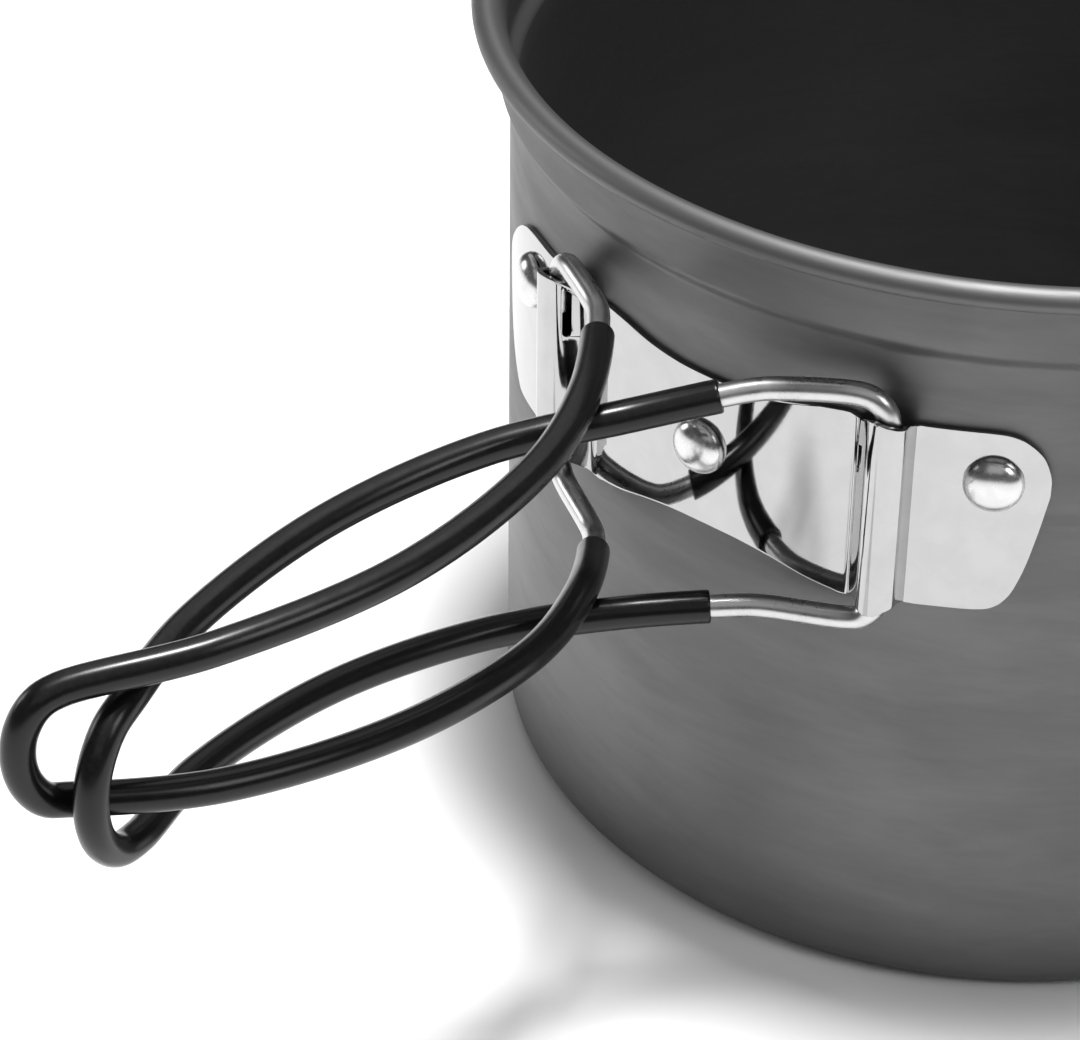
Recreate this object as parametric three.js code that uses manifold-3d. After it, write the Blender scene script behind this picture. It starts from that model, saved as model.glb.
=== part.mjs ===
// A camping cooking pot with two folding wire handles.
// Millimetres, +Z up. The origin is the centre of the pot's underside, and the handles point along +X.
// The handles are shown open and crossed, as they are held.

import * as THREE from 'three';
import { mergeVertices } from 'three/addons/utils/BufferGeometryUtils.js';
import Module from 'manifold-3d';

const wasm = await Module();
wasm.setup();

// ---------------------------------------------------------------- driving dimensions

const POT_RADIUS = 70;
const POT_WALL = 1.1;
const BASE_CORNER = 3.5;
const SHOULDER_Z = 98.2;
const SHOULDER_HEIGHT = 3;
const NECK_STEP = 1.6;
const POT_SEGMENTS = 80;

// The rolled lip, from under its outer edge over the top and down inside: outward from POT_RADIUS, height.
const LIP = [
  [1.6, 108.4],
  [3.8, 108.7],
  [4.8, 109.4],
  [5.15, 110.4],
  [4.7, 111.4],
  [3.9, 111.95],
  [3, 112.05],
  [2.1, 111.6],
  [1.3, 110.9],
  [0.8, 109.8],
  [0.5, 108.2],
];

const SHEET = 0.7;
const SHEET_GAP = 0.3;
const STRIP_RADIUS = POT_RADIUS + SHEET_GAP + SHEET / 2;

const HINGE_ANGLE = 20.2;
const HINGE_RADIUS = 73.5;
const HINGE_CLEARANCE = 0.3;

const WIRE_RADIUS = 1.5;
const WIRE_SIDES = 8;
const WIRE_STEPS = 120;
const WIRE_HOOK = 4.4;
const WIRE_BEND = 3.8;
const WIRE_TOP_Z = 94.1;
const WIRE_BOTTOM_Z = 60.8;

const SLEEVE_INNER_RADIUS = 1.9;
const SLEEVE_OUTER_RADIUS = 2.2;
const SLEEVE_SIDES = 8;
const SLEEVE_STEPS = 76;

// Where each rivet is: degrees round the pot, and height.
const RIVETS = {
  rivet_left: [-31, 81.7],
  rivet_centre: [-1, 76.6],
  rivet_right: [30.3, 82.3],
};
const RIVET_SHANK_RADIUS = 2;
const RIVET_HOLE_RADIUS = 2.3;
const RIVET_HEAD_RADIUS = 3.8;
const RIVET_HEAD_HEIGHT = 2.3;
const RIVET_TAIL_RADIUS = 3.2;
const RIVET_TAIL_HEIGHT = 1;
const RIVET_SIDES = 16;
const RIVET_GAP = 0.3;

// The bracket's sheet, from its middle out to each end. The web and the flanges follow the pot: degrees from
// the bracket's middle, and the heights of the sheet's top and bottom edges there. Both halves share the web's
// outline, and the left flange reaches farther round the pot.
const WEB = [
  [0, 87.1, 65.2],
  [4, 87.2, 65],
  [8, 87.7, 64.2],
  [12, 88.6, 62.9],
  [15, 89, 62.2],
];
const RIGHT_FLANGE = [
  [23.4, 89.2, 62.8],
  [26, 89.3, 63],
  [29.5, 89.4, 63.25],
  [30.8, 89.35, 63.55],
  [32, 89.1, 64.5],
  [33, 88.6, 66.3],
  [34, 87.7, 69.8],
  [34.9, 86.5, 74.5],
  [35.5, 85.1, 78.2],
  [35.9, 83.2, 80.9],
];
const LEFT_FLANGE = [
  [23.4, 88.9, 62.4],
  [26.5, 88.7, 61.7],
  [30, 88.6, 61.3],
  [33, 88.1, 61.1],
  [35.3, 86.9, 61.2],
  [36.2, 86.1, 62],
  [37.5, 84.8, 63.9],
  [38.6, 83.4, 66.4],
  [39.3, 82.4, 69.1],
  [39.8, 81.4, 73],
  [40.1, 80.3, 76.6],
];

// The knuckle between them wraps the wire: how far past the hinge, distance from the pot's axis, top, bottom,
// and how far from that corner its rounding starts.
const KNUCKLE_SIDE = WIRE_RADIUS + HINGE_CLEARANCE + SHEET / 2;
const KNUCKLE_FRONT = HINGE_RADIUS + KNUCKLE_SIDE;
const KNUCKLE = [
  [-5.6, STRIP_RADIUS, 89, 62, 0],
  [-4.3, STRIP_RADIUS, 88.5, 62, 0.8],
  [-3.8, 71.54, 89.1, 63.1, 0],
  [-2.56, 73.75, 90.7, 64.2, 0],
  [-1.5, KNUCKLE_FRONT, 91.8, 63.1, 1.5],
  [0.3, KNUCKLE_FRONT, 91.4, 63.5, 0],
  [KNUCKLE_SIDE, KNUCKLE_FRONT, 91.3, 65.2, 1.3],
  [KNUCKLE_SIDE, HINGE_RADIUS, 90.7, 64.3, 0],
  [KNUCKLE_SIDE + 0.25, STRIP_RADIUS, 88.9, 62.8, 0.6],
  [KNUCKLE_SIDE + 0.95, STRIP_RADIUS, 89.2, 62.8, 0],
];

// Each knuckle has one slot in the wall that faces the bracket's middle: how far past the hinge its middle is,
// its distance from the pot's axis, its middle's height and its length.
const SLOT_WIDTH = 1.2;
const SLOTS = [
  [-1, -2.45, 73.9, 86.7, 6.8],
  [1, -3.55, 71.95, 83.7, 3.8],
];

// Both handles share one plan past their bare ends: outward from the hinge, and towards the bracket's middle.
const HANDLE_PLAN = [
  [20.1, 24.5],
  [35.5, 31.8],
  [58.6, 34.8],
  [83.1, 30.9],
];
const HANDLE_TIP_SLOPE = -0.33;
const HANDLE_SWING = -6;

// Where each handle's bare ends lead to first, and the heights of its two legs there and at each point of the
// plan. The left handle passes over the right one.
const HANDLES = {
  left: {
    side: -1,
    first: [5.4, 12.3],
    upper: [93.6, 94.2, 94, 93.3, 93.1],
    lower: [59.8, 64.9, 67.6, 70.8, 73.9],
    tip: { start: 98.9, across: 23.6, depth: 5, top: 91.9, bottom: 76.6 },
    bareLength: 15.4,
  },
  right: {
    side: 1,
    first: [7.4, 13.4],
    upper: [92.7, 89, 88.2, 87.6, 87.4],
    lower: [60.2, 59.5, 60.5, 63, 66.1],
    tip: { start: 96.7, across: 24.7, depth: 8.1, top: 87.8, bottom: 68.2 },
    bareLength: 17,
  },
};

// ---------------------------------------------------------------- materials

function metal(name, color, roughness) {
  return new THREE.MeshStandardMaterial({ name, color, roughness, metalness: 1 });
}

function anodisedAluminium() {
  return metal('anodised_aluminium', 0x6e6e6f, 0.45);
}

function polishedSteel() {
  return metal('polished_steel', 0xd6d6d6, 0.15);
}

function blackSleeve() {
  const name = 'black_sleeve';
  return new THREE.MeshStandardMaterial({ name, color: 0x101010, roughness: 0.25, metalness: 0 });
}

// ---------------------------------------------------------------- geometry helpers

const radians = THREE.MathUtils.degToRad;

function polar(radius, degrees) {
  return new THREE.Vector2(radius * Math.cos(radians(degrees)), radius * Math.sin(radians(degrees)));
}

// Moves each point of a line sideways by the same distance, with mitred corners.
function offsetLine(points, distance) {
  return points.map((point, i) => {
    const into = point.clone().sub(points[Math.max(i - 1, 0)]).normalize();
    const out = points[Math.min(i + 1, points.length - 1)].clone().sub(point).normalize();
    const along = into.clone().add(out).normalize();
    const reference = i === 0 ? out : into;
    const mitre = distance / along.dot(reference);
    return new THREE.Vector2(point.x - along.y * mitre, point.y + along.x * mitre);
  });
}

function solid(geometry) {
  const bare = geometry.clone();
  bare.deleteAttribute('normal');
  bare.deleteAttribute('uv');
  const merged = mergeVertices(bare, 1e-4);
  return new wasm.Manifold(new wasm.Mesh({
    numProp: 3,
    vertProperties: new Float32Array(merged.attributes.position.array),
    triVerts: new Uint32Array(merged.index.array),
  }));
}

function geometryOf(body) {
  const mesh = body.getMesh();
  const geometry = new THREE.BufferGeometry();
  geometry.setAttribute('position', new THREE.BufferAttribute(mesh.vertProperties, 3));
  geometry.setIndex(new THREE.BufferAttribute(mesh.triVerts, 1));
  geometry.computeVertexNormals();
  return geometry;
}

// Turns a shape that was made about +Y so that it points along +X at an angle round the pot.
function pointOutward(geometry, degrees, height) {
  geometry.rotateZ(-Math.PI / 2);
  geometry.rotateZ(radians(degrees));
  geometry.translate(0, 0, height);
  return geometry;
}

function rivetHole(degrees, height) {
  const depth = 12;
  const hole = new THREE.CylinderGeometry(RIVET_HOLE_RADIUS, RIVET_HOLE_RADIUS, depth, RIVET_SIDES);
  hole.translate(0, POT_RADIUS, 0);
  return solid(pointOutward(hole, degrees, height));
}

function drillRivetHoles(body) {
  return Object.values(RIVETS).reduce((part, place) => part.subtract(rivetHole(...place)), body);
}

// ---------------------------------------------------------------- pot

// The S-shaped step between the wall and the wider neck, at a distance outside POT_RADIUS.
function shoulder(outside, steps) {
  const points = [];
  for (let i = 0; i <= steps; i += 1) {
    const t = i / steps;
    const ease = t * t * (3 - 2 * t);
    points.push(new THREE.Vector2(POT_RADIUS + outside + NECK_STEP * ease, SHOULDER_Z + SHOULDER_HEIGHT * t));
  }
  return points;
}

function baseCorner(inset, steps) {
  const points = [];
  for (let i = 0; i <= steps; i += 1) {
    const angle = radians(-90 + 90 * i / steps);
    const radius = BASE_CORNER - inset;
    const x = POT_RADIUS - BASE_CORNER + radius * Math.cos(angle);
    points.push(new THREE.Vector2(x, BASE_CORNER + radius * Math.sin(angle)));
  }
  return points;
}

function potProfile() {
  const outside = [new THREE.Vector2(0, 0), ...baseCorner(0, 4), ...shoulder(0, 4)];
  const lip = LIP.map(([out, z]) => new THREE.Vector2(POT_RADIUS + out, z));
  const inside = [new THREE.Vector2(0, POT_WALL), ...baseCorner(POT_WALL, 3), ...shoulder(-POT_WALL, 4)];
  return [...outside, ...lip, ...inside.reverse()];
}

function potBody() {
  const shell = new THREE.LatheGeometry(potProfile(), POT_SEGMENTS);
  shell.rotateX(Math.PI / 2);
  return geometryOf(drillRivetHoles(solid(shell)));
}

// ---------------------------------------------------------------- bracket

// A place near a hinge, in plan: how far past it round the pot, and how far from the pot's axis.
function besideHinge(side, across, radius) {
  return polar(radius, side * (HINGE_ANGLE + THREE.MathUtils.radToDeg(across / radius)));
}

// A station is one place on the sheet: x, y, and the heights of its top and bottom edges.
function station({ x, y }, top, bottom) {
  return new THREE.Vector4(x, y, top, bottom);
}

// A short curve in place of one corner of the sheet.
function roundedCorner(before, corner, after, reach, steps) {
  const distance = (other) => Math.hypot(other.x - corner.x, other.y - corner.y);
  const partWay = (other) => corner.clone().lerp(other, reach / distance(other));
  const start = partWay(before);
  const end = partWay(after);
  const curve = [];
  for (let i = 0; i <= steps; i += 1) {
    const t = i / steps;
    curve.push(start.clone().lerp(corner, t).lerp(corner.clone().lerp(end, t), t));
  }
  return curve;
}

function knuckleStations(side) {
  const corners = KNUCKLE.map(([across, radius, top, bottom]) => {
    return station(besideHinge(side, across, radius), top, bottom);
  });
  return KNUCKLE.flatMap(([, , , , reach], i) => {
    return reach > 0 ? roundedCorner(corners[i - 1], corners[i], corners[i + 1], reach, 4) : [corners[i]];
  });
}

// One half of the sheet: the web, the knuckle round the wire, and the flange.
function halfSheet(side, flange) {
  const onPot = ([degrees, top, bottom]) => station(polar(STRIP_RADIUS, side * degrees), top, bottom);
  return [...WEB.map(onPot), ...knuckleStations(side), ...flange.map(onPot)];
}

// The whole sheet as a closed band, four corners at each station.
function sheet() {
  const stations = [...halfSheet(-1, LEFT_FLANGE).slice(1).reverse(), ...halfSheet(1, RIGHT_FLANGE)];
  const plan = stations.map(({ x, y }) => new THREE.Vector2(x, y));
  const outer = offsetLine(plan, -SHEET / 2);
  const inner = offsetLine(plan, SHEET / 2);
  const positions = stations.flatMap(({ z: top, w: bottom }, i) => [
    ...[outer[i].x, outer[i].y, bottom],
    ...[outer[i].x, outer[i].y, top],
    ...[inner[i].x, inner[i].y, top],
    ...[inner[i].x, inner[i].y, bottom],
  ]);
  const sides = 4;
  const last = (stations.length - 1) * sides;
  const index = [0, 1, 2, 0, 2, 3, last, last + 2, last + 1, last, last + 3, last + 2];
  for (let base = 0; base < last; base += sides) {
    for (let i = 0; i < sides; i += 1) {
      const a = base + i;
      const b = base + (i + 1) % sides;
      index.push(a, a + sides, b + sides, a, b + sides, b);
    }
  }
  const geometry = new THREE.BufferGeometry();
  geometry.setAttribute('position', new THREE.Float32BufferAttribute(positions, 3));
  geometry.setIndex(index);
  return geometry;
}

function knuckleSlot(side, across, radius, height, length) {
  const shape = new THREE.Shape();
  const half = SLOT_WIDTH / 2;
  shape.absarc(0, length / 2 - half, half, 0, Math.PI);
  shape.absarc(0, half - length / 2, half, Math.PI, 2 * Math.PI);
  const depth = 3;
  const cutter = new THREE.ExtrudeGeometry(shape, { depth, bevelEnabled: false, curveSegments: 6 });
  cutter.translate(0, 0, -depth / 2);
  cutter.rotateX(Math.PI / 2);
  const wallAngle = 29;
  const place = besideHinge(side, across, radius);
  cutter.rotateZ(radians(side * (HINGE_ANGLE + wallAngle)));
  cutter.translate(place.x, place.y, height);
  return solid(cutter);
}

function handleBracket() {
  const slotted = SLOTS.reduce((part, slot) => part.subtract(knuckleSlot(...slot)), solid(sheet()));
  return geometryOf(drillRivetHoles(slotted));
}

// ---------------------------------------------------------------- rivets

function rivet(degrees, height) {
  const headBase = STRIP_RADIUS + SHEET / 2 + RIVET_GAP;
  const tailBase = POT_RADIUS - POT_WALL - RIVET_GAP - 0.1;
  const profile = [new THREE.Vector2(0, tailBase - RIVET_TAIL_HEIGHT)];
  profile.push(new THREE.Vector2(RIVET_TAIL_RADIUS - 0.5, tailBase - RIVET_TAIL_HEIGHT));
  profile.push(new THREE.Vector2(RIVET_TAIL_RADIUS, tailBase - RIVET_TAIL_HEIGHT / 2));
  profile.push(new THREE.Vector2(RIVET_TAIL_RADIUS, tailBase));
  profile.push(new THREE.Vector2(RIVET_SHANK_RADIUS, tailBase));
  profile.push(new THREE.Vector2(RIVET_SHANK_RADIUS, headBase));
  const domeSteps = 5;
  for (let i = 0; i <= domeSteps; i += 1) {
    const angle = radians(90 * i / domeSteps);
    const out = i === domeSteps ? 0 : RIVET_HEAD_RADIUS * Math.cos(angle);
    profile.push(new THREE.Vector2(out, headBase + RIVET_HEAD_HEIGHT * Math.sin(angle)));
  }
  return pointOutward(new THREE.LatheGeometry(profile, RIVET_SIDES), degrees, height);
}

// ---------------------------------------------------------------- handles

// One end of the wire: up out of the knuckle and round into the leg's first direction.
function hookPoints(z, inward, first) {
  const heading = first.clone().setLength(1);
  const bendStart = z + inward * WIRE_BEND;
  const points = [];
  for (const rise of [WIRE_HOOK, WIRE_HOOK / 2, 0]) {
    points.push(new THREE.Vector3(0, 0, bendStart + inward * rise));
  }
  for (const degrees of [30, 60, 90]) {
    const out = WIRE_BEND * (1 - Math.cos(radians(degrees)));
    const drop = WIRE_BEND * Math.sin(radians(degrees));
    points.push(new THREE.Vector3(heading.x * out, heading.y * out, bendStart - inward * drop));
  }
  return points;
}

function tipPoints({ start, across, depth, top, bottom }) {
  const middle = (top + bottom) / 2;
  const rise = (top - bottom) / 2;
  return [90, 60, 30, 0, -30, -60, -90].map((degrees) => {
    const out = depth * Math.cos(radians(degrees));
    const height = middle + rise * Math.sin(radians(degrees));
    return new THREE.Vector3(start + out, across + HANDLE_TIP_SLOPE * out, height);
  });
}

// The wire's middle line in the handle's own frame: its hinge is the Z axis, and it points along +X.
function handleRoute({ side, first, upper, lower, tip }) {
  const plan = [first, ...HANDLE_PLAN];
  const heading = new THREE.Vector2(...first);
  const leg = (heights) => plan.map(([out, across], i) => new THREE.Vector3(out, across, heights[i]));
  const points = [
    ...hookPoints(WIRE_TOP_Z, -1, heading),
    ...leg(upper),
    ...tipPoints(tip),
    ...leg(lower).reverse(),
    ...hookPoints(WIRE_BOTTOM_Z, 1, heading).reverse(),
  ];
  points.forEach((point) => {
    point.y *= -side;
  });
  return new THREE.CatmullRomCurve3(points, false, 'centripetal');
}

// A stretch of a longer curve, between two distances along it.
class Stretch extends THREE.Curve {
  constructor(whole, from, to) {
    super();
    this.whole = whole;
    this.from = from;
    this.to = to;
  }

  getPoint(t, target = new THREE.Vector3()) {
    return this.whole.getPointAt(this.from + (this.to - this.from) * t, target);
  }
}

function ring(radius, sides) {
  const points = [];
  for (let i = 0; i < sides; i += 1) {
    points.push(polar(radius, 360 * i / sides));
  }
  return points;
}

function handleWire(route) {
  return new THREE.ExtrudeGeometry(new THREE.Shape(ring(WIRE_RADIUS, WIRE_SIDES)), {
    steps: WIRE_STEPS,
    extrudePath: route,
  });
}

function handleSleeve(route, bareLength) {
  const skipped = (WIRE_HOOK + WIRE_BEND * Math.PI / 2 + bareLength) / route.getLength();
  const section = new THREE.Shape(ring(SLEEVE_OUTER_RADIUS, SLEEVE_SIDES));
  section.holes.push(new THREE.Path(ring(SLEEVE_INNER_RADIUS, SLEEVE_SIDES)));
  return new THREE.ExtrudeGeometry(section, {
    steps: SLEEVE_STEPS,
    extrudePath: new Stretch(route, skipped, 1 - skipped),
  });
}

function handle(name, settings) {
  const route = handleRoute(settings);
  const hinge = new THREE.Group();
  const place = polar(HINGE_RADIUS, settings.side * HINGE_ANGLE);
  hinge.position.set(place.x, place.y, 0);
  hinge.rotation.z = radians(HANDLE_SWING);
  hinge.add(named(`${name}_handle_wire`, handleWire(route), polishedSteel()));
  hinge.add(named(`${name}_handle_sleeve`, handleSleeve(route, settings.bareLength), blackSleeve()));
  return hinge;
}

// ---------------------------------------------------------------- assembly

function named(name, geometry, material) {
  const mesh = new THREE.Mesh(geometry, material);
  mesh.name = name;
  return mesh;
}

const pot = new THREE.Group();
pot.add(named('pot_body', potBody(), anodisedAluminium()));
pot.add(named('handle_bracket', handleBracket(), polishedSteel()));
for (const [name, place] of Object.entries(RIVETS)) {
  pot.add(named(name, rivet(...place), polishedSteel()));
}
for (const [name, settings] of Object.entries(HANDLES)) {
  pot.add(handle(name, settings));
}

export default pot;
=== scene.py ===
"""A camping cooking pot with two folding wire handles, in a white studio.

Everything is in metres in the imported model's frame: the origin is the centre of the pot's underside,
+X points out through the middle of the handle bracket and +Z points up.
Shapes are worked out in millimetres and scaled as each mesh is made.
"""
import math

import bmesh
import bpy
import numpy as np
from mathutils import Matrix, Vector


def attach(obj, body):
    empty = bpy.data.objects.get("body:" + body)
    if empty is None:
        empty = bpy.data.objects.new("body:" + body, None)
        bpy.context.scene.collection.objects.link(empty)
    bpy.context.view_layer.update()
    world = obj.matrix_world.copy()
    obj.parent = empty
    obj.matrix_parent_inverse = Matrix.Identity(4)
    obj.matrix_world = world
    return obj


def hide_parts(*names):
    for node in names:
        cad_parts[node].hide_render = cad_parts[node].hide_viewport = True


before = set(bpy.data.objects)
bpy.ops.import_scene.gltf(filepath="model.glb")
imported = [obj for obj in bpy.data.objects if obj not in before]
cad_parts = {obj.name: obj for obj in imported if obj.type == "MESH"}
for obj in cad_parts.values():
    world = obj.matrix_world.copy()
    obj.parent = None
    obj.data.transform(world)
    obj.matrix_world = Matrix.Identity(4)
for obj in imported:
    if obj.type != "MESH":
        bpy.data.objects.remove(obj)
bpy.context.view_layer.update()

MM = 0.001

# ---------------------------------------------------------------- dimensions in millimetres

POT_RADIUS = 70.0  # the wall's outside
POT_WALL = 1.1
BASE_CORNER = 3.5
SHOULDER_Z = 98.2
SHOULDER_HEIGHT = 3.0
NECK_STEP = 1.6
POT_SEGMENTS = 288
BASE_RINGS = 12
OUTER_CORNER_STEPS = 10
INNER_CORNER_STEPS = 8
WALL_ROWS = 24
SHOULDER_STEPS = 12
NECK_ROWS = 5
LIP_STEPS = 4

# The rolled lip's section (radius, height), from under its outer edge over the top and down inside.
LIP = [
    (71.6, 107.2), (71.75, 108.3), (72.5, 108.95), (73.5, 108.95), (74.3, 109.1), (74.9, 109.6),
    (75.13, 110.35), (74.85, 111.1), (74.2, 111.7), (73.4, 112.0), (72.7, 111.9), (71.9, 111.4),
    (71.25, 110.7), (70.8, 109.7), (70.55, 108.5), (70.5, 107.2),
]

SHEET = 0.7
SHEET_GAP = 0.06
STRIP_RADIUS = POT_RADIUS + SHEET_GAP + SHEET / 2  # the middle of the sheet where it lies on the pot
SHEET_EDGE = 0.14  # how far its cut edges are broken
SHEET_ROWS = 11
TABLE_STEPS = 5
CORNER_STEPS = 10

HINGE_ANGLE = 20.2
HINGE_RADIUS = 73.5
HINGE_CLEARANCE = 0.3

CAD_WIRE_RADIUS = 1.5  # the knuckles are wrapped round this one
WIRE_RADIUS = 1.48
WIRE_SIDES = 24
WIRE_STEPS = 420
WIRE_HOOK = 4.4  # the straight end inside a knuckle
WIRE_BEND = 3.8
WIRE_TOP_Z = 94.1
WIRE_BOTTOM_Z = 60.8
WIRE_KINK = 1.3  # how far from its corner a kink starts
# A wire's rounded end: how far from it, and how much thinner the wire is there.
WIRE_END = [(0.0, 0.35), (0.1, 0.14), (0.22, 0.04), (0.35, 0.0)]
WIRE_END_REACH = 0.9

SLEEVE_INNER_RADIUS = 1.56
SLEEVE_OUTER_RADIUS = 2.12
SLEEVE_TIP_RADIUS = 2.02  # it is stretched thinner round the handle's tip
SLEEVE_SIDES = 28
SLEEVE_STEPS = 380
# A sleeve's cut end: how far from it, and how much thinner the sleeve is there.
SLEEVE_END = [(0.0, 0.3), (0.05, 0.12), (0.18, 0.03), (0.3, 0.0)]
SLEEVE_END_REACH = 0.5
SLEEVE_TAPER_RATE = 1.7
SLEEVE_TAPER_START = 0.4

# Where each rivet is: degrees round the pot, and height.
RIVETS = {"rivet_left": (-31.0, 81.7), "rivet_centre": (-1.0, 76.6), "rivet_right": (30.3, 82.3)}
RIVET_HEAD_RADIUS = 3.76
RIVET_HEAD_HEIGHT = 2.35
RIVET_SHANK_RADIUS = 2.0
RIVET_TAIL_RADIUS = 3.2
RIVET_TAIL_HEIGHT = 1.0
RIVET_GAP = 0.02
RIVET_RIM = 0.1  # the height of the head's upright edge
RIVET_RIM_INSET = 0.12
RIVET_DOME_POWER = 0.9  # below 1, the dome is a little fuller than round
RIVET_SEGMENTS = 96

# The web and the flanges follow the pot: degrees from the bracket's middle, and the sheet's top and bottom.
WEB = [(0, 87.1, 65.2), (4, 87.2, 65.0), (8, 87.7, 64.2), (12, 88.6, 62.9), (15, 89.0, 62.2)]
RIGHT_FLANGE = [
    (23.4, 89.2, 62.8), (26, 89.3, 63.0), (29.5, 89.4, 63.25), (30.8, 89.35, 63.55), (31.5, 89.25, 64.0),
    (32, 89.1, 64.5), (32.6, 88.83, 65.45), (33, 88.6, 66.3), (34, 87.7, 69.8), (34.9, 86.5, 74.5),
    (35.3, 85.6, 76.9), (35.6, 84.6, 78.9), (35.8, 83.7, 80.2), (35.9, 82.9, 81.0),
]
# The photograph shows the left flange almost edge on. Measured there, it reaches farther round the pot.
LEFT_FLANGE = [
    (23.4, 88.9, 62.4), (26.5, 88.7, 61.7), (30, 88.6, 61.3), (33, 88.1, 61.1), (34.3, 87.5, 61.1),
    (35.3, 86.9, 61.25), (36.2, 86.1, 62.0), (36.9, 85.45, 62.9), (37.5, 84.8, 63.9), (38.6, 83.4, 66.4),
    (39.3, 82.4, 69.1), (39.8, 81.4, 73.0), (40.0, 80.8, 75.4), (40.1, 80.2, 76.8),
]

# Each knuckle: past the hinge, from the pot's axis, top, bottom, and where that corner's rounding starts.
KNUCKLE_SIDE = CAD_WIRE_RADIUS + HINGE_CLEARANCE + SHEET / 2
KNUCKLE_FRONT = HINGE_RADIUS + KNUCKLE_SIDE
KNUCKLE = [
    (-5.6, STRIP_RADIUS, 89.0, 62.0, 0),
    (-4.3, STRIP_RADIUS, 88.5, 62.0, 0.8),
    (-3.8, 71.54, 89.1, 63.1, 0),
    (-2.56, 73.75, 90.7, 64.2, 0),
    (-1.5, KNUCKLE_FRONT, 91.8, 63.1, 1.5),
    (0.3, KNUCKLE_FRONT, 91.4, 63.5, 0),
    (KNUCKLE_SIDE, KNUCKLE_FRONT, 91.3, 65.2, 1.3),
    (KNUCKLE_SIDE, HINGE_RADIUS, 90.7, 64.3, 0),
    (KNUCKLE_SIDE + 0.25, STRIP_RADIUS, 88.9, 62.8, 0.6),
    (KNUCKLE_SIDE + 0.95, STRIP_RADIUS, 89.2, 62.8, 0),
]

# The slot in each knuckle's centre-facing wall: side, past the hinge, from the axis, height, length.
SLOTS = [(-1, -2.45, 73.9, 86.7, 6.8), (1, -3.55, 71.95, 83.7, 3.8)]
SLOT_WIDTH = 1.2
SLOT_END_STEPS = 8
SLOT_CUT_REACH = 1.5
KNUCKLE_WALL_ANGLE = 29.0  # how far that wall is turned from the line out of the pot through its hinge

# Both handles share one plan past their bare ends: outward from the hinge, and towards the bracket's middle.
HANDLE_PLAN = [(20.1, 24.5), (35.5, 31.8), (58.6, 34.8), (83.1, 30.9)]
HANDLE_SWING = -6.0  # both are held this many degrees to one side
TIP_SLOPE = -0.33
ROUTE_STEPS = 96

# How far each sleeve starts from the bend of its wire.
BARE_LENGTH = {"left": 15.4, "right": 17.0}

# Each handle: its kink in plan, the heights of its two legs at the kink and at each point of the plan, and
# its tip, which is where it starts, how far across, how deep, and its top and bottom.
HANDLES = {
    "left": {
        "side": -1, "first": (5.4, 12.3),
        "upper": (93.6, 94.2, 94.0, 93.3, 93.1), "lower": (59.8, 64.9, 67.6, 70.8, 73.9),
        "tip": (98.9, 23.6, 5.0, 91.9, 76.6),
    },
    "right": {
        "side": 1, "first": (7.4, 13.4),
        "upper": (92.7, 89.0, 88.2, 87.6, 87.4), "lower": (60.2, 59.5, 60.5, 63.0, 66.1),
        "tip": (96.7, 24.7, 8.1, 87.8, 68.2),
    },
}

OFF_AXIS = (0.31, 0.17, 0.94)  # a direction that no wire starts along

# ---------------------------------------------------------------- the studio, in metres

FLOOR_SIZE = 6.0
WORLD_STRENGTH = 0.09

# Each softbox: its place, what it points at, its two sides, its power and its first side's heading.
SOFTBOXES = {
    "softbox_overhead": ((-0.1, -0.01, 2.0), (0.0, 0.0, 0.05), (0.36, 0.36), 52, None),
    "softbox_canopy": ((-0.5, -0.2, 2.3), (0.0, 0.0, 0.0), (2.4, 2.4), 10, None),
    "softbox_back": ((-1.15, -0.69, 1.45), (0.0, 0.0, 0.1), (1.6, 2.4), 6, 31),
    "softbox_front": ((0.98, 0.59, 1.35), (0.0, 0.0, 0.08), (1.3, 1.5), 2.4, 31),
    "softbox_left": ((0.45, -1.35, 0.45), (0.03, 0, 0.06), (0.5, 0.5), 3.0, None),
    "softbox_right": ((-0.1, 1.3, 1.1), (0.0, 0.0, 0.1), (0.6, 0.6), 5, None),
}

CAMERA_PLACE = (0.3877, 0.2321, 0.3471)
CAMERA_HEADING = 39.24
CAMERA_PITCH = 35.68
CAMERA_ROLL = 0.55
CAMERA_LENS = 127.8

# ---------------------------------------------------------------- mesh helpers


def piece(name, verts, faces, material, body, node):
    """A smooth mesh object from points in millimetres, which stands for one CAD node."""
    mesh = bpy.data.meshes.new(name)
    mesh.from_pydata([tuple(float(c) * MM for c in v) for v in verts], [], faces)
    mesh.validate()
    mesh.update()
    obj = bpy.data.objects.new(name, mesh)
    bpy.context.scene.collection.objects.link(obj)
    finish_piece(obj, material, body, node)
    return obj


def finish_piece(obj, material, body, node):
    """Gives a piece its material, the body it rides and the node it replaces."""
    obj.data.materials.clear()
    obj.data.materials.append(material)
    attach(obj, body)
    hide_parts(node)


def face_out(obj):
    """Turns every face of a closed mesh outward."""
    bm = bmesh.new()
    bm.from_mesh(obj.data)
    bmesh.ops.recalc_face_normals(bm, faces=bm.faces)
    bm.to_mesh(obj.data)
    bm.free()


def shade(obj, sharp_degrees):
    """Smooth shading, with a crease wherever two faces meet at more than the angle."""
    obj.data.polygons.foreach_set("use_smooth", [True] * len(obj.data.polygons))
    obj.data.set_sharp_from_angle(angle=math.radians(sharp_degrees))


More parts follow.
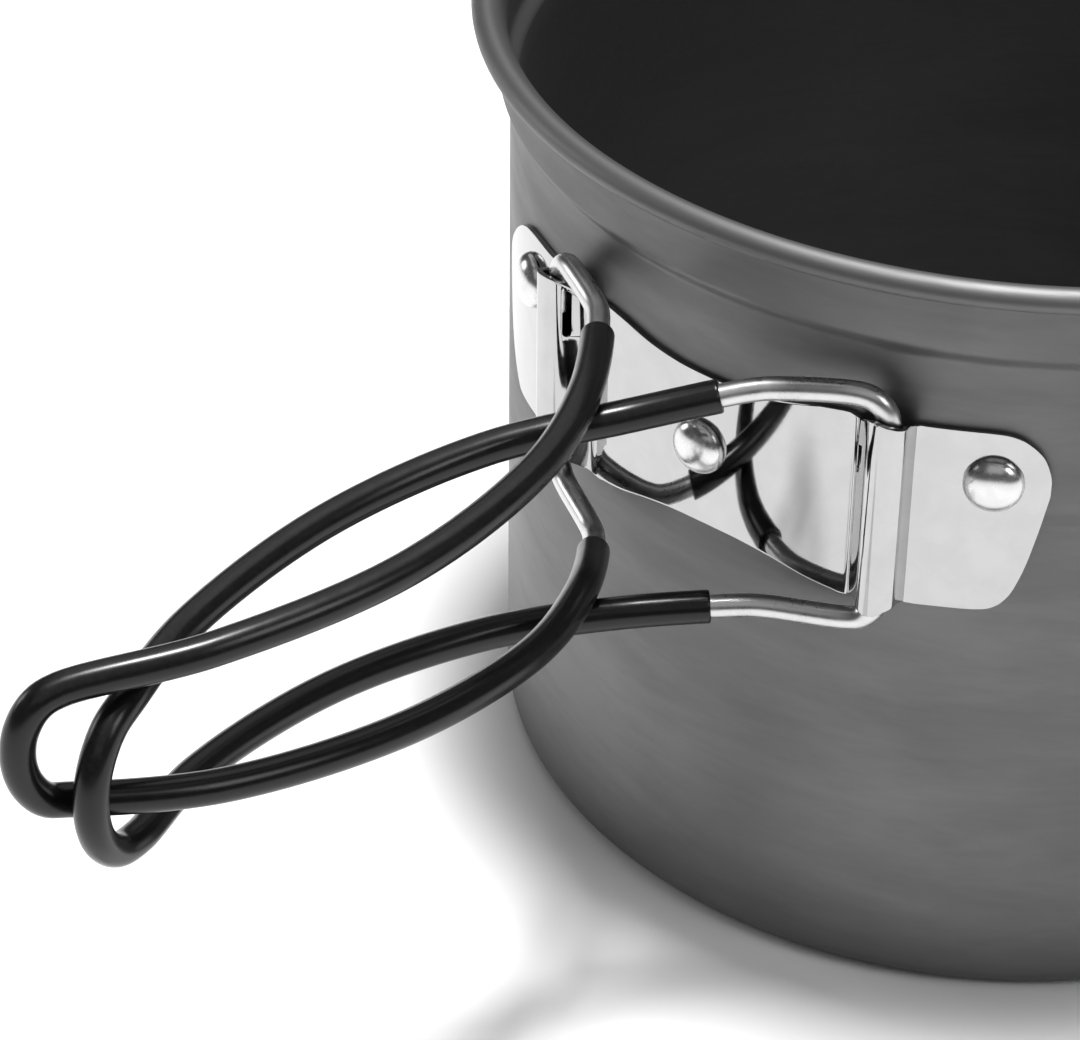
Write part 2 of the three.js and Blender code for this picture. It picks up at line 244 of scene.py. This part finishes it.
def catmull_rom(points, per_span):
    """A centripetal Catmull-Rom curve through the points, sampled evenly within each span."""
    p = np.asarray(points, float)
    p = np.vstack([2 * p[0] - p[1], p, 2 * p[-1] - p[-2]])
    out = []
    for i in range(1, len(p) - 2):
        p0, p1, p2, p3 = p[i - 1], p[i], p[i + 1], p[i + 2]
        d0, d1, d2 = (max(np.linalg.norm(b - a), 1e-9) ** 0.5 for a, b in ((p0, p1), (p1, p2), (p2, p3)))
        m1 = ((p1 - p0) / d0 - (p2 - p0) / (d0 + d1) + (p2 - p1) / d1) * d1
        m2 = ((p2 - p1) / d1 - (p3 - p1) / (d1 + d2) + (p3 - p2) / d2) * d1
        t = np.linspace(0, 1, per_span, endpoint=False)[:, None]
        out.append(p1 + m1 * t + (3 * (p2 - p1) - 2 * m1 - m2) * t**2 + (2 * (p1 - p2) + m1 + m2) * t**3)
    out.append(p[-2][None])
    return np.vstack(out)


def along(points):
    """The distance along a line of points, at each of them."""
    return np.concatenate([[0], np.cumsum(np.linalg.norm(np.diff(points, axis=0), axis=1))])


def resample(points, distances):
    """The points at these distances along a line of points."""
    s = along(points)
    return np.stack([np.interp(distances, s, points[:, k]) for k in range(points.shape[1])], axis=1)


def polar(radius, degrees):
    """A place in plan from its distance and its angle round +Z."""
    return np.array([radius * math.cos(math.radians(degrees)), radius * math.sin(math.radians(degrees))])


def lathe(profile, segments):
    """Spins a section (radius, height) round +Z. A point at radius 0 becomes one vertex."""
    verts, rings = [], []
    for r, z in profile:
        if r < 1e-6:
            rings.append([len(verts)] * segments)
            verts.append((0, 0, z))
        else:
            rings.append(list(range(len(verts), len(verts) + segments)))
            for k in range(segments):
                a = 2 * math.pi * k / segments
                verts.append((r * math.cos(a), r * math.sin(a), z))
    faces = []
    for lower, upper in zip(rings, rings[1:]):
        for k in range(segments):
            n = (k + 1) % segments
            corners = [lower[k], lower[n], upper[n], upper[k]]
            face = [c for i, c in enumerate(corners) if c != corners[i - 1]]
            if len(face) > 2:
                faces.append(face)
    return verts, faces


def sweep(path, radii, sides):
    """Rings round a path, one for each point and radius, with open ends."""
    path = np.asarray(path, float)
    tangent = np.gradient(path, axis=0)
    tangent /= np.linalg.norm(tangent, axis=1)[:, None]
    side = np.cross(tangent[0], OFF_AXIS)
    verts = []
    for i, centre in enumerate(path):
        side = side - tangent[i] * side.dot(tangent[i])
        side /= np.linalg.norm(side)
        up = np.cross(tangent[i], side)
        for k in range(sides):
            a = 2 * math.pi * k / sides
            verts.append(centre + radii[i] * (math.cos(a) * side + math.sin(a) * up))
    faces = []
    for i in range(len(path) - 1):
        for k in range(sides):
            n = (k + 1) % sides
            faces.append([i * sides + k, i * sides + n, (i + 1) * sides + n, (i + 1) * sides + k])
    return verts, faces


def cap_ends(verts, faces, sides):
    """Closes the first and the last ring of a swept tube."""
    faces.append(list(range(sides))[::-1])
    last = len(verts) - sides
    faces.append([last + k for k in range(sides)])


# ---------------------------------------------------------------- material helpers


class Nodes:
    """Builds a node tree in a few short lines."""

    def __init__(self, name):
        self.material = bpy.data.materials.new(name)
        self.material.use_nodes = True
        self.tree = self.material.node_tree
        self.shader = self.tree.nodes["Principled BSDF"]

    def add(self, kind, **values):
        node = self.tree.nodes.new(kind)
        for key, value in values.items():
            if key in node.inputs:
                node.inputs[key].default_value = value
            else:
                setattr(node, key, value)
        return node

    def link(self, source, target):
        self.tree.links.new(source, target)

    def math(self, operation, a, b=None):
        node = self.add("ShaderNodeMath", operation=operation)
        for socket, value in zip(node.inputs, (a, b)):
            if value is None:
                continue
            if isinstance(value, (int, float)):
                socket.default_value = value
            else:
                self.link(value, socket)
        return node.outputs[0]

    def coordinates(self):
        texture = self.add("ShaderNodeTexCoord")
        parts = self.add("ShaderNodeSeparateXYZ")
        self.link(texture.outputs["Object"], parts.inputs[0])
        return texture.outputs["Object"], parts.outputs

    def combine(self, x, y, z):
        node = self.add("ShaderNodeCombineXYZ")
        for socket, value in zip(node.inputs, (x, y, z)):
            if isinstance(value, (int, float)):
                socket.default_value = value
            else:
                self.link(value, socket)
        return node.outputs[0]

    def noise(self, vector, scale, detail=4.0, roughness=0.55, distortion=0.0):
        node = self.add("ShaderNodeTexNoise")
        node.inputs["Scale"].default_value = scale
        node.inputs["Detail"].default_value = detail
        node.inputs["Roughness"].default_value = roughness
        node.inputs["Distortion"].default_value = distortion
        self.link(vector, node.inputs["Vector"])
        return node.outputs["Fac"]

    def spread(self, value, low, high, to_low, to_high):
        """Maps a range of values to another, smoothly and within its ends."""
        node = self.add("ShaderNodeMapRange")
        node.interpolation_type = "SMOOTHSTEP"
        self.link(value, node.inputs["Value"])
        for socket, number in zip(("From Min", "From Max", "To Min", "To Max"), (low, high, to_low, to_high)):
            node.inputs[socket].default_value = number
        return node.outputs["Result"]

    def grey(self, value):
        """A grey colour from a number."""
        return self.combine(value, value, value)

    def bump(self, height, distance, strength=1.0, normal=None):
        node = self.add("ShaderNodeBump")
        node.inputs["Distance"].default_value = distance
        node.inputs["Strength"].default_value = strength
        self.link(height, node.inputs["Height"])
        if normal is not None:
            self.link(normal, node.inputs["Normal"])
        return node.outputs["Normal"]

    def set(self, **values):
        for key, value in values.items():
            socket = self.shader.inputs[key.replace("_", " ")]
            if isinstance(value, (int, float, tuple)):
                socket.default_value = value
            else:
                self.link(value, socket)


def anodised_aluminium():
    """Satin grey, with faint streaks round the pot."""
    n = Nodes("anodised_aluminium")
    spot, (x, y, z) = n.coordinates()
    angle = n.math("ARCTAN2", y, x)
    wrap = n.math("MULTIPLY", angle, POT_RADIUS * MM)
    radius = n.math("SQRT", n.math("ADD", n.math("MULTIPLY", x, x), n.math("MULTIPLY", y, y)))
    streaks = n.combine(n.math("MULTIPLY", wrap, 0.22), z, radius)
    grain = n.noise(streaks, 900.0, detail=3.0, roughness=0.6)
    mottle = n.noise(streaks, 120.0, detail=5.0, roughness=0.6, distortion=0.6)
    clouds = n.noise(spot, 28.0, detail=3.0, roughness=0.5, distortion=0.4)
    tone = n.math("ADD", n.math("MULTIPLY", mottle, 0.55), n.math("MULTIPLY", clouds, 0.45))
    tone = n.math("ADD", n.math("MULTIPLY", tone, 0.85), n.math("MULTIPLY", grain, 0.15))
    n.set(
        Base_Color=n.grey(n.spread(tone, 0.3, 0.7, 0.115, 0.15)),
        Metallic=0.78,
        Roughness=n.spread(tone, 0.3, 0.7, 0.54, 0.44),
        Normal=n.bump(grain, 0.00002, 1.0, n.bump(mottle, 0.00004)),
    )
    return n.material


def polished_steel():
    """The bracket's sheet: almost a mirror, with slow waves and fine scratches."""
    n = Nodes("polished_steel")
    spot, (x, y, z) = n.coordinates()
    waves = n.noise(spot, 40.0, detail=1.0, roughness=0.4)
    stretched = n.combine(n.math("MULTIPLY", x, 0.15), n.math("MULTIPLY", y, 0.15), z)
    scratches = n.noise(stretched, 2600.0, detail=2.0, roughness=0.6)
    smears = n.noise(spot, 240.0, detail=4.0, roughness=0.6, distortion=0.5)
    n.set(
        Base_Color=n.grey(n.spread(smears, 0.3, 0.7, 0.42, 0.45)),
        Metallic=1.0,
        Roughness=n.spread(smears, 0.35, 0.7, 0.035, 0.07),
        Normal=n.bump(scratches, 0.0000008, 1.0, n.bump(waves, 0.000008)),
    )
    return n.material


def wire_steel():
    """The bare wires: duller than the bracket."""
    n = Nodes("wire_steel")
    spot, _ = n.coordinates()
    smears = n.noise(spot, 300.0, detail=4.0, roughness=0.6, distortion=0.5)
    n.set(
        Base_Color=n.grey(n.spread(smears, 0.3, 0.7, 0.52, 0.6)),
        Metallic=1.0,
        Roughness=n.spread(smears, 0.3, 0.7, 0.26, 0.34),
    )
    return n.material


def rivet_steel():
    """The rivets' heads: bright, and dulled a little by the press."""
    n = Nodes("rivet_steel")
    spot, _ = n.coordinates()
    smears = n.noise(spot, 420.0, detail=4.0, roughness=0.6, distortion=0.5)
    n.set(
        Base_Color=n.grey(n.spread(smears, 0.3, 0.7, 0.58, 0.68)),
        Metallic=1.0,
        Roughness=n.spread(smears, 0.3, 0.7, 0.2, 0.3),
        Normal=n.bump(smears, 0.00001),
    )
    return n.material


def black_sleeve():
    """The handles' sleeves: smooth, glossy black."""
    n = Nodes("black_sleeve")
    spot, _ = n.coordinates()
    skin = n.noise(spot, 420.0, detail=3.0, roughness=0.5)
    dust = n.noise(spot, 1800.0, detail=4.0, roughness=0.6)
    n.set(
        Base_Color=n.grey(n.spread(dust, 0.35, 0.75, 0.004, 0.008)),
        Roughness=n.spread(skin, 0.35, 0.7, 0.23, 0.27),
        IOR=1.38,
    )
    return n.material


# ---------------------------------------------------------------- pot


def arc(centre, radius, start, end, steps):
    """Points on an arc between two angles in degrees, both ends included."""
    angles = np.radians(np.linspace(start, end, steps + 1))
    return [(centre[0] + radius * math.cos(a), centre[1] + radius * math.sin(a)) for a in angles]


def shoulder(outside):
    """The S-shaped step between the wall and the wider neck, at a distance outside POT_RADIUS."""
    points = []
    for i in range(SHOULDER_STEPS + 1):
        t = i / SHOULDER_STEPS
        ease = t * t * (3 - 2 * t)
        points.append((POT_RADIUS + outside + NECK_STEP * ease, SHOULDER_Z + SHOULDER_HEIGHT * t))
    return points


def rise(radius, low, high, count):
    """Points up a straight wall, without its two ends."""
    return [(radius, z) for z in np.linspace(low, high, count)[1:-1]]


def pot_profile():
    """The pot's section (radius, height): up its outside, over the lip and down its inside."""
    flat_radius = POT_RADIUS - BASE_CORNER
    flat = np.linspace(0, flat_radius, BASE_RINGS)[:-1]
    centre = (flat_radius, BASE_CORNER)
    inner = POT_RADIUS - POT_WALL
    neck_z = SHOULDER_Z + SHOULDER_HEIGHT
    outside = [(r, 0.0) for r in flat] + arc(centre, BASE_CORNER, -90, 0, OUTER_CORNER_STEPS)
    outside += rise(POT_RADIUS, BASE_CORNER, SHOULDER_Z, WALL_ROWS) + shoulder(0)
    outside += rise(POT_RADIUS + NECK_STEP, neck_z, LIP[0][1], NECK_ROWS)
    lip = [tuple(p) for p in catmull_rom(LIP, LIP_STEPS)]
    inside = [(r, POT_WALL) for r in flat]
    inside += arc(centre, BASE_CORNER - POT_WALL, -90, 0, INNER_CORNER_STEPS)
    inside += rise(inner, BASE_CORNER, SHOULDER_Z, WALL_ROWS) + shoulder(-POT_WALL)
    inside += rise(inner + NECK_STEP, neck_z, LIP[-1][1], NECK_ROWS)
    return outside + lip + inside[::-1]


def make_pot(material):
    verts, faces = lathe(pot_profile(), POT_SEGMENTS)
    obj = piece("pot_shell", verts, faces, material, "pot", "pot_body")
    face_out(obj)
    shade(obj, 60)


# ---------------------------------------------------------------- bracket


def beside_hinge(side, across, radius):
    """A place in plan beside a hinge: how far past it, and how far from the pot's axis."""
    return polar(radius, side * (HINGE_ANGLE + math.degrees(across / radius)))


def rounded_corner(before, corner, after, reach, steps):
    """A short curve in place of a corner. The first two numbers of each point are its place in plan."""
    start, end = (corner + (p - corner) * reach / np.linalg.norm((p - corner)[:2]) for p in (before, after))
    spans = np.linspace(0, 1, steps + 1)
    return [start * (1 - t) ** 2 + corner * 2 * t * (1 - t) + end * t * t for t in spans]


def half_sheet(side, flange):
    """Stations along half of the bracket's sheet: x, y, and the heights of its top and bottom edges."""
    def on_pot(table):
        rows = catmull_rom(table, TABLE_STEPS)
        return [np.array([*polar(STRIP_RADIUS, side * a), high, low]) for a, high, low in rows]

    corners = [np.array([*beside_hinge(side, row[0], row[1]), row[2], row[3]]) for row in KNUCKLE]
    knuckle = []
    for i, row in enumerate(KNUCKLE):
        if row[4] > 0:
            near = corners[i - 1], corners[i], corners[i + 1]
            knuckle += rounded_corner(*near, row[4], CORNER_STEPS)
        else:
            knuckle.append(corners[i])
    return on_pot(WEB) + knuckle + on_pot(flange)


def make_bracket(material):
    """One sheet: its front and back faces, the edges all round, the two slots and the broken edges."""
    stations = np.array(half_sheet(-1, LEFT_FLANGE)[:0:-1] + half_sheet(1, RIGHT_FLANGE))
    plan, top, bottom = stations[:, :2], stations[:, 2], stations[:, 3]
    tangent = np.gradient(plan, axis=0)
    tangent /= np.linalg.norm(tangent, axis=1)[:, None]
    outward = np.stack([tangent[:, 1], -tangent[:, 0]], axis=1)
    rows = np.concatenate([[0, 0.01], np.linspace(0.05, 0.95, SHEET_ROWS), [0.99, 1]])
    verts, count = [], len(rows)
    for sign in (1, -1):
        for i in range(len(plan)):
            spot = plan[i] + sign * outward[i] * SHEET / 2
            for f in rows:
                verts.append((spot[0], spot[1], bottom[i] + (top[i] - bottom[i]) * f))
    columns = len(plan)
    back = columns * count
    faces = []
    for i in range(columns - 1):
        for j in range(count - 1):
            a, b = i * count + j, (i + 1) * count + j
            faces.append([a, b, b + 1, a + 1])
            faces.append([back + a, back + a + 1, back + b + 1, back + b])
        a, b = i * count, (i + 1) * count
        faces.append([a, back + a, back + b, b])
        a, b = a + count - 1, b + count - 1
        faces.append([a, b, back + b, back + a])
    for i in (0, columns - 1):
        for j in range(count - 1):
            a = i * count + j
            faces.append([a, a + 1, back + a + 1, back + a])
    obj = piece("bracket_sheet", verts, faces, material, "pot", "handle_bracket")
    face_out(obj)
    cut_slots(obj)
    bevel = obj.modifiers.new("edges", "BEVEL")
    bevel.width = SHEET_EDGE * MM
    bevel.segments = 2
    bevel.limit_method = "ANGLE"
    bevel.angle_limit = math.radians(55)
    apply_modifiers(obj)
    shade(obj, 50)


def apply_modifiers(obj):
    """Replaces an object's mesh with what its modifiers make of it."""
    graph = bpy.context.evaluated_depsgraph_get()
    graph.update()
    made = bpy.data.meshes.new_from_object(obj.evaluated_get(graph))
    obj.modifiers.clear()
    old = obj.data
    obj.data = made
    bpy.data.meshes.remove(old)


def cut_slots(obj):
    """Cuts the slot in each knuckle's centre-facing wall."""
    half = SLOT_WIDTH / 2
    for side, across, radius, height, length in SLOTS:
        upper = arc((0, length / 2 - half), half, 0, 180, SLOT_END_STEPS)
        loop = upper + arc((0, half - length / 2), half, 180, 360, SLOT_END_STEPS)
        middle = beside_hinge(side, across, radius)
        along_wall = polar(1, side * (HINGE_ANGLE + KNUCKLE_WALL_ANGLE))
        through = np.array([along_wall[1], -along_wall[0]])
        verts = []
        for depth in (-SLOT_CUT_REACH, SLOT_CUT_REACH):
            for u, v in loop:
                p = middle + along_wall * u + through * depth
                verts.append((p[0] * MM, p[1] * MM, (height + v) * MM))
        n = len(loop)
        faces = [list(range(n)), list(range(2 * n - 1, n - 1, -1))]
        faces += [[k, (k + 1) % n, n + (k + 1) % n, n + k] for k in range(n)]
        mesh = bpy.data.meshes.new("slot_cutter")
        mesh.from_pydata(verts, [], faces)
        cutter = bpy.data.objects.new("slot_cutter", mesh)
        bpy.context.scene.collection.objects.link(cutter)
        face_out(cutter)
        cut = obj.modifiers.new("slot", "BOOLEAN")
        cut.operation = "DIFFERENCE"
        cut.solver = "EXACT"
        cut.object = cutter
        apply_modifiers(obj)
        bpy.data.objects.remove(cutter)


# ---------------------------------------------------------------- rivets


def rivet_profile():
    """A rivet's section (radius, distance from the pot's axis): tail, shank and domed head."""
    base = STRIP_RADIUS + SHEET / 2 + RIVET_GAP
    tail = POT_RADIUS - POT_WALL - RIVET_GAP
    r, h = RIVET_TAIL_RADIUS, RIVET_TAIL_HEIGHT
    points = [(0, tail - h), (r * 0.5, tail - h), (r * 0.8, tail - h * 0.93), (r * 0.95, tail - h * 0.7)]
    points += [(r, tail - h * 0.35), (r, tail), (RIVET_SHANK_RADIUS, tail), (RIVET_SHANK_RADIUS, base)]
    head, height = RIVET_HEAD_RADIUS, RIVET_HEAD_HEIGHT
    points += [(head - RIVET_RIM_INSET, base), (head, base + RIVET_RIM)]
    for degrees in range(10, 90, 8):
        a = math.radians(degrees)
        out = head * math.cos(a) ** RIVET_DOME_POWER
        points.append((out, base + RIVET_RIM + (height - RIVET_RIM) * math.sin(a)))
    points.append((0, base + height))
    return points


def make_rivet(name, degrees, height, material):
    """A rivet turned to point out of the pot at an angle round it and a height."""
    verts, faces = lathe(rivet_profile(), RIVET_SEGMENTS)
    turn = Matrix.Rotation(math.radians(degrees), 4, "Z") @ Matrix.Rotation(math.radians(90), 4, "Y")
    moved = [turn @ Vector(v) + Vector((0, 0, height)) for v in verts]
    obj = piece(name + "_domed", moved, faces, material, "pot", name)
    face_out(obj)
    shade(obj, 50)


# ---------------------------------------------------------------- handles


def hook(z, inward, first):
    """A wire's hooked end, from inside its knuckle round the bend. Inward is +1 where it points up."""
    heading = np.array(first) / np.linalg.norm(first)
    start = z + inward * WIRE_BEND
    points = [(0, 0, start + inward * up) for up in (WIRE_HOOK, WIRE_HOOK / 2, 0)]
    for degrees in (30, 60, 90):
        out = WIRE_BEND * (1 - math.cos(math.radians(degrees)))
        drop = WIRE_BEND * math.sin(math.radians(degrees))
        points.append((heading[0] * out, heading[1] * out, start - inward * drop))
    return points


def tip_points(start, across, depth, top, bottom):
    """The half ellipse that joins a handle's upper leg to its lower one."""
    points = []
    for degrees in (90, 60, 30, 0, -30, -60, -90):
        out = depth * math.cos(math.radians(degrees))
        up = (top - bottom) / 2 * math.sin(math.radians(degrees))
        points.append((start + out, across + TIP_SLOPE * out, (top + bottom) / 2 + up))
    return points


def leg(first, level, heights):
    """One leg, from the kink near its bare end to the start of the tip."""
    points = [np.array([*spot, z]) for spot, z in zip([first] + HANDLE_PLAN, heights)]
    kink, start = points[0], np.array([0, 0, level])
    near = [kink + (p - kink) * WIRE_KINK / np.linalg.norm(p - kink) for p in (start, points[1])]
    return near + points[1:]


def handle_route(side, first, upper, lower, tip):
    """The wire's middle line, in the model's frame."""
    points = hook(WIRE_TOP_Z, -1, first) + leg(first, WIRE_TOP_Z, upper) + tip_points(*tip)
    points += leg(first, WIRE_BOTTOM_Z, lower)[::-1] + hook(WIRE_BOTTOM_Z, 1, first)[::-1]
    points = np.array([(u, -side * v, z) for u, v, z in points])
    a = math.radians(HANDLE_SWING)
    hinge = polar(HINGE_RADIUS, side * HINGE_ANGLE)
    fine = catmull_rom(points, ROUTE_STEPS)
    x = hinge[0] + fine[:, 0] * math.cos(a) - fine[:, 1] * math.sin(a)
    y = hinge[1] + fine[:, 0] * math.sin(a) + fine[:, 1] * math.cos(a)
    return np.stack([x, y, fine[:, 2]], axis=1)


def make_wire(name, route, steel):
    length = along(route)[-1]
    near, thinner = np.array(WIRE_END).T
    middle = np.linspace(WIRE_END_REACH, length - WIRE_END_REACH, WIRE_STEPS)
    distances = np.concatenate([near, middle, length - near[::-1]])
    radii = np.full(len(distances), WIRE_RADIUS)
    radii[:len(near)] -= thinner
    radii[-len(near):] -= thinner[::-1]
    verts, faces = sweep(resample(route, distances), radii, WIRE_SIDES)
    cap_ends(verts, faces, WIRE_SIDES)
    wire = piece(
        name + "_wire", verts, faces, steel, name + "_handle", name + "_handle_wire"
    )
    face_out(wire)
    shade(wire, 60)


def make_sleeve(name, route, rubber):
    length = along(route)[-1]
    skipped = WIRE_HOOK + WIRE_BEND * math.pi / 2 + BARE_LENGTH[name]
    near, thinner = np.array(SLEEVE_END).T
    lead = skipped + np.concatenate([[0.0], near])
    lead_radius = np.concatenate([[SLEEVE_INNER_RADIUS], SLEEVE_OUTER_RADIUS - thinner])
    core = np.linspace(skipped + SLEEVE_END_REACH, length - skipped - SLEEVE_END_REACH, SLEEVE_STEPS)
    from_middle = np.abs(core - length / 2) / (length / 2 - skipped)
    grown = np.clip(from_middle * SLEEVE_TAPER_RATE - SLEEVE_TAPER_START, 0, 1)
    core_radius = SLEEVE_TIP_RADIUS + (SLEEVE_OUTER_RADIUS - SLEEVE_TIP_RADIUS) * grown
    outer_s = np.concatenate([lead, core, length - lead[::-1]])
    outer_r = np.concatenate([lead_radius, core_radius, lead_radius[::-1]])
    inner_s = np.concatenate([[length - skipped - near[-1]], core[::-1], [skipped + near[-1]]])
    inner_r = np.full(len(inner_s), SLEEVE_INNER_RADIUS)
    verts, faces = tube_skin(route, outer_s, outer_r, inner_s, inner_r, SLEEVE_SIDES)
    sleeve = piece(
        name + "_sleeve", verts, faces, rubber, name + "_handle", name + "_handle_sleeve"
    )
    face_out(sleeve)
    shade(sleeve, 75)


def tube_skin(route, outer_s, outer_r, inner_s, inner_r, sides):
    """A closed tube: out along its outer face, and back along its bore."""
    order = np.concatenate([outer_s, inner_s])
    radii = np.concatenate([outer_r, inner_r])
    s = along(route)
    tangent = np.gradient(route, axis=0)
    tangent /= np.linalg.norm(tangent, axis=1)[:, None]
    frames = np.zeros_like(route)
    side = np.cross(tangent[0], OFF_AXIS)
    for i, t in enumerate(tangent):
        side = side - t * side.dot(t)
        side /= np.linalg.norm(side)
        frames[i] = side
    verts = []
    for distance, radius in zip(order, radii):
        centre, t, e = (
            np.array([np.interp(distance, s, field[:, k]) for k in range(3)])
            for field in (route, tangent, frames)
        )
        t /= np.linalg.norm(t)
        e = e - t * e.dot(t)
        e /= np.linalg.norm(e)
        up = np.cross(t, e)
        for k in range(sides):
            a = 2 * math.pi * k / sides
            verts.append(centre + radius * (math.cos(a) * e + math.sin(a) * up))
    faces = []
    rings = len(order)
    for i in range(rings):
        j = (i + 1) % rings
        for k in range(sides):
            n = (k + 1) % sides
            faces.append([i * sides + k, i * sides + n, j * sides + n, j * sides + k])
    return verts, faces


# ---------------------------------------------------------------- studio


def make_floor():
    n = Nodes("floor_paper")
    spot, _ = n.coordinates()
    n.set(Base_Color=n.grey(n.spread(n.noise(spot, 6.0), 0.3, 0.7, 0.90, 0.92)), Roughness=0.9)
    bpy.ops.mesh.primitive_plane_add(size=FLOOR_SIZE, location=(0, 0, 0))
    floor = bpy.context.object
    floor.name = "floor"
    floor.data.materials.append(n.material)


def area_light(name, location, target, size, power, heading):
    """A softbox aimed at a target. Its first side can be turned to run along a heading round +Z."""
    light = bpy.data.lights.new(name, "AREA")
    light.shape = "RECTANGLE"
    light.size, light.size_y = size
    light.energy = power
    obj = bpy.data.objects.new(name, light)
    bpy.context.scene.collection.objects.link(obj)
    obj.location = location
    aim = (Vector(target) - Vector(location)).normalized()
    if heading is None:
        obj.rotation_euler = aim.to_track_quat("-Z", "Y").to_euler()
        return
    across = Vector((*polar(1, heading + 90), 0))
    across = (across - aim * across.dot(aim)).normalized()
    obj.rotation_euler = Matrix((across.cross(-aim), across, -aim)).transposed().to_euler()


def make_world():
    world = bpy.data.worlds.new("studio")
    bpy.context.scene.world = world
    world.use_nodes = True
    background = world.node_tree.nodes["Background"]
    background.inputs["Color"].default_value = (1, 1, 1, 1)
    background.inputs["Strength"].default_value = WORLD_STRENGTH


def make_camera():
    """The photograph's viewpoint: it looks back at the pot along a heading, tipped down by a pitch."""
    pitch, heading, roll = (math.radians(a) for a in (CAMERA_PITCH, CAMERA_HEADING, CAMERA_ROLL))
    flat = math.cos(pitch)
    forward = Vector((-flat * math.cos(heading), -flat * math.sin(heading), -math.sin(pitch)))
    level = forward.cross(Vector((0, 0, 1))).normalized()
    up = level.cross(forward)
    right = math.cos(roll) * level + math.sin(roll) * up
    up = -math.sin(roll) * level + math.cos(roll) * up
    data = bpy.data.cameras.new("camera")
    data.sensor_width = 36.0
    data.lens = CAMERA_LENS
    data.clip_start = 0.01
    camera = bpy.data.objects.new("camera", data)
    bpy.context.scene.collection.objects.link(camera)
    turn = Matrix((right, up, -forward)).transposed().to_4x4()
    camera.matrix_world = Matrix.Translation(CAMERA_PLACE) @ turn
    bpy.context.scene.camera = camera


# ---------------------------------------------------------------- everything together

make_camera()
make_world()
make_floor()
for light_name, light_settings in SOFTBOXES.items():
    area_light(light_name, *light_settings)

make_pot(anodised_aluminium())
make_bracket(polished_steel())
domed = rivet_steel()
for rivet_name, (rivet_angle, rivet_z) in RIVETS.items():
    make_rivet(rivet_name, rivet_angle, rivet_z, domed)
bare_wire, rubber = wire_steel(), black_sleeve()
for handle_name, handle_shape in HANDLES.items():
    handle_line = handle_route(**handle_shape)
    make_wire(handle_name, handle_line, bare_wire)
    make_sleeve(handle_name, handle_line, rubber)

bpy.context.scene.view_settings.view_transform = "Standard"
